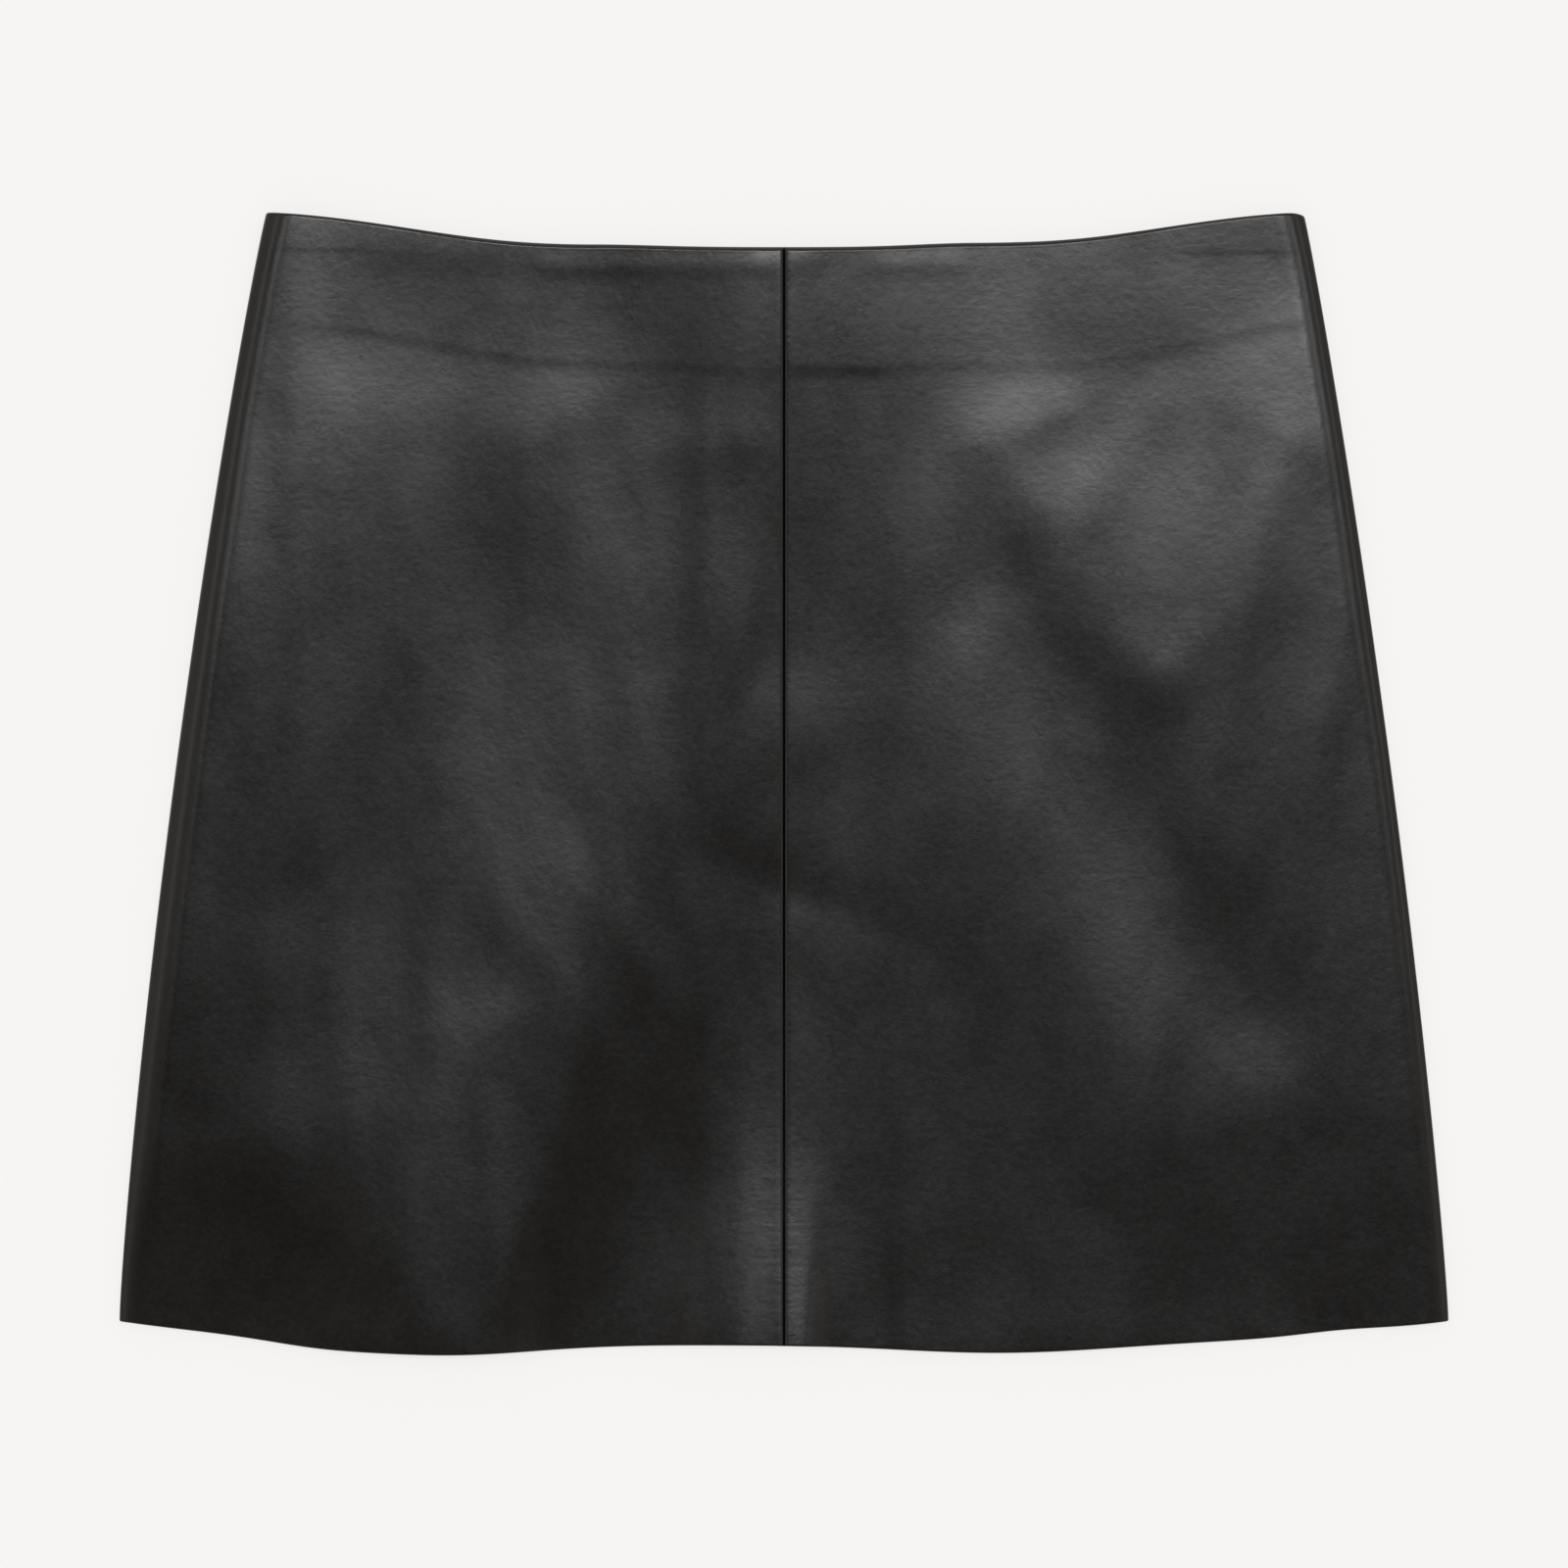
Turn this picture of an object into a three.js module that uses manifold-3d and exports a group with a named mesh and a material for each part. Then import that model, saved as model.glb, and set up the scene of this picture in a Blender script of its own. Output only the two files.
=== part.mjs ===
// A short A-line skirt of thin black leather, laid flat on its back.
// Two front panels meet at a straight centre seam, two back panels lie under them, and the front
// rolls over to the back at both side seams. A concealed zip closes the centre back seam.
// Millimetres. +X is to the right of a viewer above, +Y towards the waist, +Z up from the table.
// The origin is on the table, under the middle of the skirt's outline.

import * as THREE from 'three';
import * as BufferGeometryUtils from 'three/addons/utils/BufferGeometryUtils.js';
import Module from 'manifold-3d';

const wasm = await Module();
wasm.setup();

// Outline seen from above
const halfWaist = { left: 190, right: 191 };
const halfHem = 244;
const waistMiddleY = 197;
const waistCornerRise = 13;
const waistLevelHalf = 70;
const waistCurveHalf = 128;
const hemMiddleY = -206;
const hemCornerRise = 8.7;
const hemCornerPower = 4;
const sideBow = { left: 6.3, right: 5.4 };
const sideBowPower = 0.8;
const backInset = 0.8;

// Walls: the leather, and what is turned in or glued behind it
const leather = 1.2;
const facing = { deep: 42, thick: 0.5 };
const turnedEdge = { deep: 11, thick: 0.3 };
const hemTurn = { deep: 22, thick: 0.3 };
const seamTurn = { deep: 9.5, thick: 0.4 };
const stepRun = 3;
const edgeRound = 0.6;
const waistRound = 0.9;
const seamRound = 1.5;

// Outside, the leather eases over those steps: how deep each reaches there, and how long its slope is
const easedFacing = { deep: 80, run: 160 };
const easedEdge = { deep: 40, run: 90 };
const easedHem = { deep: 30, run: 90 };
const easedSeam = { deep: 14, run: 44 };

// Gaps and the rolled side edges
const seamGap = 0.3;
const layerGap = 0.3;
const rollWidth = 10;

// How far the front stands off the back before its folds, and the least and most it may with them
const restLift = 1.7;
const lowestLift = 0.5;
const highestLift = 3.3;
const liftBlend = 0.3;

// Folds of the front: a soft crest, or a trough where lift is negative, from one point to another.
// bow bends it towards the waist side, and above and below are its widths on its waist and hem sides.
const folds = [
  { name: 'left ridge', from: [-37, 56], to: [-122, -214], bow: 0, lift: 1.2, above: 50, below: 28, taper: 50 },
  { name: 'left lower ridge', from: [-94, -108], to: [-115, -176], bow: 0, lift: 1, above: 42, below: 20, taper: 26 },
  { name: 'left valley', from: [-112, 58], to: [-174, -88], bow: 0, lift: -0.75, above: 28, below: 36, taper: 44 },
  { name: 'left edge rise', from: [-184, 114], to: [-196, 78], bow: 0, lift: 1.1, above: 26, below: 30, taper: 58 },
  { name: 'left side hollow', from: [-192, -50], to: [-212, -120], bow: 0, lift: -0.6, above: 24, below: 30, taper: 40 },
  { name: 'left waist crest', from: [-190, 208], to: [-30, 200], bow: 0, lift: 0.3, above: 30, below: 34, taper: 30 },
  { name: 'left corner hollow', from: [-236, -204], to: [-190, -208], bow: 0, lift: -1.2, above: 52, below: 30, taper: 26 },
  { name: 'seam valley', from: [2, 10], to: [-70, -214], bow: -18, lift: -1.25, above: 24, below: 34, taper: 32 },
  { name: 'seam foot', from: [-20, -240], to: [-2, -240], bow: 0, lift: 2.1, above: 84, below: 20, taper: 22 },
  { name: 'right ridge', from: [52, 70], to: [138, -126], bow: -12, lift: 0.5, above: 34, below: 30, taper: 44 },
  { name: 'right valley', from: [84, 68], to: [170, -82], bow: -5, lift: -0.6, above: 20, below: 26, taper: 24 },
  { name: 'right hip', from: [84, 118], to: [138, 46], bow: 0, lift: 0.65, above: 48, below: 22, taper: 22 },
  { name: 'right side rise', from: [140, 46], to: [184, 124], bow: 0, lift: 0.7, above: 46, below: 22, taper: 24 },
  { name: 'right waist hollow', from: [104, 212], to: [192, 222], bow: 0, lift: -0.7, above: 40, below: 60, taper: 34 },
  { name: 'right corner hollow', from: [176, -214], to: [236, -208], bow: 0, lift: -1, above: 56, below: 20, taper: 26 },
];

// Soft waves of the waist and hem lines: where along the edge, how far, and how wide
const waistWaves = [
  { at: -70, reach: 1.1, width: 32 },
  { at: 72, reach: 1.7, width: 32 },
  { at: 193, reach: -1.6, width: 4 },
];
const hemWaves = [
  { at: -172, reach: -1.5, width: 25 },
  { at: -128, reach: -4.3, width: 48 },
  { at: 80, reach: -3, width: 52 },
  { at: 205, reach: 1.2, width: 22 },
];

// Concealed zip in the centre back seam, closed, with its pull tab on the outside of the skirt
const zipLength = 165;
const chain = { wide: 4.6, thick: 1.2 };
const slider = { wide: 7.2, long: 9.6, thick: 1.2, neck: 1.5, bridge: 0.5, slotLong: 5.6 };
const tab = { long: 24, head: 4.2, wide: 6, thick: 0.8, eyeLong: 4.4, shoulder: 5.6, tilt: 2, clear: 0.3 };
const hinge = { y: 184.5, z: 1.4 };
const zipArch = { high: 2.2, flatHalf: 5, reach: 80, endY: 40 };
const zipLift = { high: 1.85, flatHalf: 4, reach: 94, fade: 80, blend: 0.5 };
const neckOpening = { half: 1.15, reach: 9 };

// Grids of the walls: distances of the first lines from each edge, and the number of lines between
const frontGrid = {
  fromSeam: [0, 0.45, 1.5, 3.5, 8, 11],
  across: 16,
  fromWaist: [0, 0.3, 0.9, 9.5, 12.5, 26, 40.5, 43.5],
  down: 19,
  fromHem: [23.5, 20.5, 9, 0.6, 0.2, 0],
};
const backGrid = {
  fromSeam: [0, 0.2, 0.6, 5, 8, 11, 22, 34, 46, 58, 70, 82],
  across: 3,
  fromWaist: [0, 0.3, 0.9, 4, 9.5, 12.5, 17.5, 21, 26.5, 34, 40.5, 43.5, 55],
  down: 9,
  fromHem: [23.5, 20.5, 0.6, 0.2, 0],
};
const rollSteps = 5;
const garmentLength = waistMiddleY - hemMiddleY;

const leatherLook = new THREE.MeshStandardMaterial({ color: 0x1c1c1d, roughness: 0.42, metalness: 0 });
const nylonLook = new THREE.MeshStandardMaterial({ color: 0x121213, roughness: 0.6, metalness: 0 });
const enamelLook = new THREE.MeshStandardMaterial({ color: 0x19191b, roughness: 0.3, metalness: 0.6 });

const clamp01 = (value) => Math.min(1, Math.max(0, value));
const smooth = (value) => clamp01(value) ** 2 * (3 - 2 * clamp01(value));
const mix = (start, end, share) => start + (end - start) * share;
const bell = (distance, width) => Math.exp(-((distance / width) ** 2));
// 1 inside the given depth and 0 beyond it, with a slope of the given run between
const band = (distance, deep, run) => 1 - smooth((distance - deep) / run + 0.5);
// The value, but never below the lowest, which it nears in a curve
const softLimit = (value, lowest, blend) =>
  lowest + 0.5 * (value - lowest + Math.hypot(value - lowest, blend));
// How far a rounded edge has fallen back at a distance from it
const fallBack = (distance, radius) =>
  distance < radius ? radius - Math.sqrt(radius ** 2 - (radius - distance) ** 2) : 0;

const sumOfWaves = (waves, x) =>
  waves.reduce((sum, wave) => sum + wave.reach * bell(x - wave.at, wave.width), 0);

function waistY(x) {
  const rise = waistCornerRise * smooth((Math.abs(x) - waistLevelHalf) / waistCurveHalf);
  return waistMiddleY + rise + sumOfWaves(waistWaves, x);
}

function hemY(x) {
  const rise = hemCornerRise * (Math.abs(x) / halfHem) ** hemCornerPower;
  return hemMiddleY + rise + sumOfWaves(hemWaves, x);
}

// Half the skirt's width on one side, at a share of the way down from waist to hem
function halfWidth(side, down) {
  const bow = sideBow[side] * (4 * down * (1 - down)) ** sideBowPower;
  return mix(halfWaist[side], halfHem, down) + bow;
}

// How far one fold lifts the front at a point
function foldLift(fold, x, y) {
  const along = new THREE.Vector2(fold.to[0] - fold.from[0], fold.to[1] - fold.from[1]);
  const length = along.length();
  along.divideScalar(length);
  const up = new THREE.Vector2(-along.y, along.x);
  if (up.y < 0) up.negate();
  const here = new THREE.Vector2(x - fold.from[0], y - fold.from[1]);
  const share = here.dot(along) / length;
  const beyond = (share - clamp01(share)) * length;
  const off = here.dot(up) - fold.bow * Math.sin(Math.PI * clamp01(share)) ** 2;
  return fold.lift * bell(off, off > 0 ? fold.above : fold.below) * bell(beyond, fold.taper);
}

// The back arches over the slider and tab, so that both stay clear of the table
function archLift(x, y) {
  const across = 1 - smooth((Math.abs(x) - zipArch.flatHalf) / (zipArch.reach - zipArch.flatHalf));
  return zipArch.high * across * smooth((y - zipArch.endY) / (hinge.y - zipArch.endY));
}

// How far the front stands off the back: resting, in its folds, and over the zip
function frontLift(x, y) {
  const wanted = restLift + folds.reduce((sum, fold) => sum + foldLift(fold, x, y), 0);
  const raised = softLimit(wanted, lowestLift, liftBlend);
  const lifted = highestLift - softLimit(highestLift - raised, 0, liftBlend);
  const overZip = (1 - smooth((Math.abs(x) - zipLift.flatHalf) / (zipLift.reach - zipLift.flatHalf))) *
    smooth((y - (waistMiddleY - zipLength - zipLift.fade)) / zipLift.fade);
  return mix(lifted, softLimit(lifted, zipLift.high, zipLift.blend), overZip);
}

// Thickness of a wall: leather, and what lies behind it near the waist, hem and centre seam
function wallThickness(fromWaist, fromHem, fromSeam) {
  return leather + facing.thick * band(fromWaist, facing.deep, stepRun) +
    turnedEdge.thick * band(fromWaist, turnedEdge.deep, stepRun) +
    hemTurn.thick * band(fromHem, hemTurn.deep, stepRun) + seamTurn.thick * band(fromSeam, seamTurn.deep, stepRun);
}

// The same thickness as it shows outside, where the leather eases over what lies behind it
function easedThickness(fromWaist, fromHem, fromSeam) {
  return leather + facing.thick * band(fromWaist, easedFacing.deep, easedFacing.run) +
    turnedEdge.thick * band(fromWaist, easedEdge.deep, easedEdge.run) +
    hemTurn.thick * band(fromHem, easedHem.deep, easedHem.run) +
    seamTurn.thick * band(fromSeam, easedSeam.deep, easedSeam.run);
}

// How high the front's outside is above the back's underside
function frontHeight(x, y, fromWaist, fromHem, fromSeam) {
  return 2 * easedThickness(fromWaist, fromHem, fromSeam) + layerGap + frontLift(x, y);
}

// The two edges of the centre back seam part around the slider's neck
function backSeamHalf(y) {
  const parted = 1 - smooth((Math.abs(y - hinge.y) - slider.long / 2) / neckOpening.reach);
  return mix(seamGap / 2, neckOpening.half, parted);
}

// Lines of a grid, as distances from its first edge
function gridLines(first, between, last, total) {
  const start = first[first.length - 1];
  const end = total - last[0];
  const middle = Array.from({ length: between }, (_, k) => mix(start, end, (k + 1) / (between + 1)));
  return [...first, ...middle, ...last.map((distance) => total - distance)];
}

// A closed wall between an outer and an inner grid of points, with rims round its four edges
function wallGeometry(outer, inner) {
  const rows = outer.length;
  const columns = outer[0].length;
  const points = [...outer.flat(), ...inner.flat()];
  const outside = (row, column) => row * columns + column;
  const inside = (row, column) => rows * columns + outside(row, column);
  const faces = [];
  const quad = (a, b, c, d) => faces.push(a, b, c, a, c, d);
  for (let row = 0; row + 1 < rows; row += 1) {
    for (let column = 0; column + 1 < columns; column += 1) {
      quad(outside(row, column), outside(row + 1, column), outside(row + 1, column + 1), outside(row, column + 1));
      quad(inside(row, column), inside(row, column + 1), inside(row + 1, column + 1), inside(row + 1, column));
    }
    quad(outside(row, 0), inside(row, 0), inside(row + 1, 0), outside(row + 1, 0));
    quad(outside(row, columns - 1), outside(row + 1, columns - 1), inside(row + 1, columns - 1), inside(row, columns - 1));
  }
  for (let column = 0; column + 1 < columns; column += 1) {
    quad(outside(0, column), outside(0, column + 1), inside(0, column + 1), inside(0, column));
    quad(outside(rows - 1, column), inside(rows - 1, column), inside(rows - 1, column + 1), outside(rows - 1, column + 1));
  }
  const geometry = new THREE.BufferGeometry().setFromPoints(points);
  geometry.setIndex(faces);
  if (enclosedVolume(geometry) < 0) {
    for (let k = 0; k < faces.length; k += 3) [faces[k], faces[k + 1]] = [faces[k + 1], faces[k]];
    geometry.setIndex(faces);
  }
  geometry.computeVertexNormals();
  return geometry;
}

// Volume inside a closed mesh, negative where its faces point inwards
function enclosedVolume(geometry) {
  const corner = [0, 1, 2].map(() => new THREE.Vector3());
  const { index } = geometry;
  let volume = 0;
  for (let k = 0; k < index.count; k += 3) {
    corner.forEach((point, n) => point.fromBufferAttribute(geometry.attributes.position, index.getX(k + n)));
    volume += corner[0].dot(corner[1].clone().cross(corner[2])) / 6;
  }
  return volume;
}

// One panel, from the centre seam to the side seam, whose roll turns up from the back and down from the front
function panelGeometry(layer, side) {
  const grid = layer === 'front' ? frontGrid : backGrid;
  const sign = side === 'left' ? -1 : 1;
  const rows = gridLines(grid.fromWaist, grid.down, grid.fromHem, garmentLength);
  const outer = [];
  const inner = [];
  for (const fromWaist of rows) {
    const down = fromWaist / garmentLength;
    const fromHem = garmentLength - fromWaist;
    const widest = halfWidth(side, down);
    const rollStart = widest - rollWidth;
    const edge = Math.max(fallBack(fromWaist, waistRound), fallBack(fromHem, edgeRound));
    const placeY = (x) => {
      const share = x / widest;
      const top = waistY(sign * share * halfWaist[side]);
      const bottom = hemY(sign * share * halfHem);
      const inset = layer === 'back' ? backInset * (1 - share ** 4) * (1 - 2 * down) : 0;
      return mix(top, bottom, down) - inset;
    };
    const outerRow = [];
    const innerRow = [];
    const flatLines = gridLines(grid.fromSeam, grid.across, [0], rollStart);
    for (const fromSeam of flatLines) {
      const seamHalf = layer === 'back' ? backSeamHalf(placeY(fromSeam)) : seamGap / 2;
      const x = mix(seamHalf + fromSeam, fromSeam, fromSeam / rollStart);
      const y = placeY(x);
      const thick = wallThickness(fromWaist, fromHem, fromSeam);
      const arch = archLift(x, y);
      const round = Math.max(edge, layer === 'front' ? fallBack(fromSeam, seamRound) : fallBack(fromSeam, edgeRound));
      const frontTop = arch + frontHeight(sign * x, y, fromWaist, fromHem, fromSeam);
      const outside = layer === 'front' ? frontTop - round : arch + round;
      const inside = layer === 'front' ? frontTop - thick : arch + thick;
      outerRow.push(new THREE.Vector3(sign * x, y, outside));
      innerRow.push(new THREE.Vector3(sign * x, y, inside));
    }
    const middle = frontHeight(sign * rollStart, placeY(rollStart), fromWaist, fromHem, rollStart) / 2;
    const hollowHalf = middle - wallThickness(fromWaist, fromHem, rollStart);
    const turn = layer === 'front' ? 1 : -1;
    const rollPoint = (wide, high, step) => {
      const last = Math.asin(seamGap / 2 / high);
      const angle = mix(Math.PI / 2, last, step / rollSteps);
      const x = rollStart + wide * Math.cos(angle);
      return new THREE.Vector3(sign * x, placeY(x), middle + turn * high * Math.sin(angle));
    };
    for (let step = 1; step <= rollSteps; step += 1) {
      outerRow.push(rollPoint(rollWidth - edge, middle - edge, step));
      innerRow.push(rollPoint(rollWidth - leather, hollowHalf, step));
    }
    outer.push(outerRow);
    inner.push(innerRow);
  }
  return wallGeometry(outer, inner);
}

// The closed chain lies along the inside of the centre back seam, below the slider
function chainGeometry() {
  const top = waistMiddleY - hinge.y + slider.long / 2 + seamGap;
  const bottom = top + zipLength;
  const panelLines = gridLines(backGrid.fromWaist, backGrid.down, backGrid.fromHem, garmentLength);
  const lines = [top, ...panelLines.filter((line) => line > top && line < bottom), bottom];
  const level = (height) => lines.map((line) => {
    const y = waistMiddleY - line;
    const seat = archLift(0, y) + wallThickness(line, garmentLength - line, 0) + layerGap;
    return [-1, 1].map((sign) => new THREE.Vector3(sign * chain.wide / 2, y, seat + height));
  });
  return wallGeometry(level(chain.thick), level(0));
}

function toManifold(geometry) {
  geometry.deleteAttribute('normal');
  geometry.deleteAttribute('uv');
  const merged = BufferGeometryUtils.mergeVertices(geometry);
  const vertProperties = Float32Array.from(merged.attributes.position.array);
  const triVerts = Uint32Array.from(merged.index.array);
  return new wasm.Manifold(new wasm.Mesh({ numProp: 3, vertProperties, triVerts }));
}

function fromManifold(solid) {
  const mesh = solid.getMesh();
  const geometry = new THREE.BufferGeometry();
  geometry.setAttribute('position', new THREE.BufferAttribute(mesh.vertProperties, 3));
  geometry.setIndex(new THREE.BufferAttribute(mesh.triVerts, 1));
  geometry.computeVertexNormals();
  return geometry;
}

// The slider: a flat body inside the skirt, and a neck through the seam with the bridge that holds the tab
function sliderGeometry() {
  const topEnd = waistMiddleY - hinge.y - slider.long / 2;
  const bodySeat = zipArch.high + wallThickness(topEnd, garmentLength, 0) + layerGap;
  const halfLong = slider.long / 2 - 1;
  const bridgeLow = hinge.z - tab.thick / 2 - tab.clear - slider.bridge;
  const slotLow = bridgeLow + slider.bridge;
  const slotHigh = hinge.z + tab.thick / 2 + tab.clear;
  const corner = slider.bridge;
  const side = new THREE.Shape();
  side.moveTo(-halfLong, bodySeat + slider.thick / 2);
  side.lineTo(-halfLong, bridgeLow + corner);
  side.absarc(-halfLong + corner, bridgeLow + corner, corner, Math.PI, 1.5 * Math.PI, false);
  side.absarc(halfLong - corner, bridgeLow + corner, corner, 1.5 * Math.PI, 2 * Math.PI, false);
  side.lineTo(halfLong, bodySeat + slider.thick / 2);
  side.closePath();
  const slot = new THREE.Path();
  const slotHalf = slider.slotLong / 2;
  slot.moveTo(-slotHalf, slotLow);
  slot.lineTo(-slotHalf, slotHigh);
  slot.lineTo(slotHalf, slotHigh);
  slot.lineTo(slotHalf, slotLow);
  slot.closePath();
  side.holes.push(slot);
  const neck = new THREE.ExtrudeGeometry(side, { depth: slider.neck, bevelEnabled: false, curveSegments: 4 });
  neck.translate(0, 0, -slider.neck / 2);
  neck.rotateX(Math.PI / 2).rotateZ(Math.PI / 2);
  neck.translate(0, hinge.y, 0);
  const body = new THREE.BoxGeometry(slider.wide, slider.long, slider.thick);
  body.translate(0, hinge.y, bodySeat + slider.thick / 2);
  return fromManifold(toManifold(neck).add(toManifold(body)));
}

// The pull tab: a drop with a square eye at its head, lying towards the hem
function tabGeometry() {
  const barHalf = tab.thick / 2;
  const eyeHalf = slider.neck / 2 + tab.clear;
  const endRadius = tab.wide / 2;
  const outline = new THREE.Shape();
  outline.moveTo(-tab.head / 2, barHalf);
  outline.lineTo(-tab.head / 2, -tab.shoulder);
  outline.absarc(0, -tab.long + endRadius, endRadius, Math.PI, 2 * Math.PI, false);
  outline.lineTo(tab.head / 2, -tab.shoulder);
  outline.lineTo(tab.head / 2, barHalf);
  outline.closePath();
  const eye = new THREE.Path();
  eye.moveTo(-eyeHalf, -barHalf);
  eye.lineTo(eyeHalf, -barHalf);
  eye.lineTo(eyeHalf, -tab.eyeLong);
  eye.lineTo(-eyeHalf, -tab.eyeLong);
  eye.closePath();
  outline.holes.push(eye);
  const geometry = new THREE.ExtrudeGeometry(outline, { depth: tab.thick, bevelEnabled: false, curveSegments: 8 });
  geometry.translate(0, 0, -tab.thick / 2);
  return geometry;
}

function namedMesh(name, geometry, look) {
  const mesh = new THREE.Mesh(geometry, look);
  mesh.name = name;
  return mesh;
}

const skirt = new THREE.Group();
for (const side of ['left', 'right']) {
  skirt.add(namedMesh(`front_panel_${side}`, panelGeometry('front', side), leatherLook));
  skirt.add(namedMesh(`back_panel_${side}`, panelGeometry('back', side), leatherLook));
}
skirt.add(namedMesh('zip_chain', chainGeometry(), nylonLook));
skirt.add(namedMesh('zip_slider', sliderGeometry(), enamelLook));

const pullTab = namedMesh('zip_pull_tab', tabGeometry(), enamelLook);
pullTab.position.set(0, hinge.y, hinge.z);
pullTab.rotation.x = THREE.MathUtils.degToRad(tab.tilt);
skirt.add(pullTab);

export default skirt;
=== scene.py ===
"""A short A-line skirt of black nappa leather, laid flat on its back on a pale table."""

import math

import bmesh
import bpy
import numpy as np
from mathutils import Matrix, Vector


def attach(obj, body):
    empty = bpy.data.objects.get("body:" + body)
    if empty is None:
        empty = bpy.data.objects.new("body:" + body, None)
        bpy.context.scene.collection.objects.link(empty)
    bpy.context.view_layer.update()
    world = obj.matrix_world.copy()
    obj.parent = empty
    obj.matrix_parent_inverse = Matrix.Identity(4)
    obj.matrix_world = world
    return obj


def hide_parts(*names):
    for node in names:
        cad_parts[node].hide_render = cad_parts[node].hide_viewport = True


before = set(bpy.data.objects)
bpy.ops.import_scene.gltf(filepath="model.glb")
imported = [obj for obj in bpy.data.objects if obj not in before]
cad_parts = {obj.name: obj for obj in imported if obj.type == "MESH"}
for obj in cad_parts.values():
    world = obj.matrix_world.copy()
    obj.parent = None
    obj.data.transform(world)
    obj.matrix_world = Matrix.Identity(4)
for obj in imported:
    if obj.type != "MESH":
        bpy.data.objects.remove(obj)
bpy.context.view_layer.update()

# Front panels
# Two panels of black nappa, sewn face to face down the centre front, so the seam shows as a dark
# groove. A facing is glued inside the waist, all edges are turned in, and each panel rolls over
# the side fold to meet the back there. They lie on the back panels in soft, uneven folds.

MM = 0.001
HALF_WAIST = {"left": 190, "right": 191}
HALF_HEM = 244
WAIST_MIDDLE_Y = 197
HEM_MIDDLE_Y = -206
LENGTH = WAIST_MIDDLE_Y - HEM_MIDDLE_Y
SIDE_BOW = {"left": 6.3, "right": 5.4}
CORNER_RISE = 13

LEATHER = 1.2
FACING_DEEP = 42
TURNED_EDGE_DEEP = 11
HEM_TURN_DEEP = 22
SEAM_TURN_DEEP = 9.5
SEAM_GAP = 0.3
SEAM_CLOSE = -0.01
LAYER_GAP = 0.3
ROLL = 10

# How far the front stands off the back: where no fold is, at least, at most, and over the zip
PLAIN_LIFT = 1.7
LEAST_LIFT = 0.5
MOST_LIFT = 3.3
ZIP_LIFT = 1.85
ARCH_HIGH = 2.2

HINGE_Y = 184.5
SLIDER_LONG = 9.6
ZIP_LENGTH = 165
NECK_HALF = 1.15

# Where a wave of the waist or hem line is, how far it reaches, and its width
WAIST_WAVES = [(-70, 1.1, 32), (72, 1.7, 32), (193, -1.6, 4)]
HEM_WAVES = [(-172, -1.5, 25), (-128, -4.3, 48), (80, -3, 52), (205, 1.2, 22)]

# Each fold runs from one point to another: bow towards the waist side, lift, widths on its
# waist and hem sides, and how softly its ends run out
FOLDS = [
    ("left ridge", (-37, 56), (-122, -214), 0, 1.2, 50, 28, 50),
    ("left lower ridge", (-94, -108), (-115, -176), 0, 1.0, 42, 20, 26),
    ("left valley", (-112, 58), (-174, -88), 0, -0.75, 28, 36, 44),
    ("left edge rise", (-184, 114), (-196, 78), 0, 1.1, 26, 30, 58),
    ("left side hollow", (-192, -50), (-212, -120), 0, -0.6, 24, 30, 40),
    ("left waist crest", (-190, 208), (-30, 200), 0, 0.3, 30, 34, 30),
    ("left corner hollow", (-236, -204), (-190, -208), 0, -1.2, 52, 30, 26),
    ("seam valley", (2, 10), (-70, -214), -18, -1.25, 24, 34, 32),
    ("seam foot", (-20, -240), (-2, -240), 0, 2.1, 84, 20, 22),
    ("right ridge", (52, 70), (138, -126), -12, 0.5, 34, 30, 44),
    ("right valley", (84, 68), (170, -82), -5, -0.6, 20, 26, 24),
    ("right hip", (84, 118), (138, 46), 0, 0.65, 48, 22, 22),
    ("right side rise", (140, 46), (184, 124), 0, 0.7, 46, 22, 24),
    ("right waist hollow", (104, 212), (192, 222), 0, -0.7, 40, 60, 34),
    ("right corner hollow", (176, -214), (236, -208), 0, -1.0, 56, 20, 26),
]

# Grid lines near the edges, the steps round a side fold, and where the front's rows are closer:
# the distance from the waist, how far it reaches, and how much closer
WAIST_LINES = [0, 0.08, 0.22, 0.42, 0.7, 1.05, 1.4, 1.65, 1.85, 2.0, 2.15, 2.3, 2.6, 3.2]
HEM_LINES = [0.95, 0.66, 0.42, 0.22, 0.08, 0]
SEAM_LINES = np.array([0, 0.1, 0.25, 0.5, 0.8, 1.15, 1.6, 3.2])
ROLL_STEPS = 12
FRONT_FINE = [(13, 4, 1.6), (FACING_DEEP, 8, 1.2), (LENGTH - 3.5, 4, 1.6)]

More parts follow.
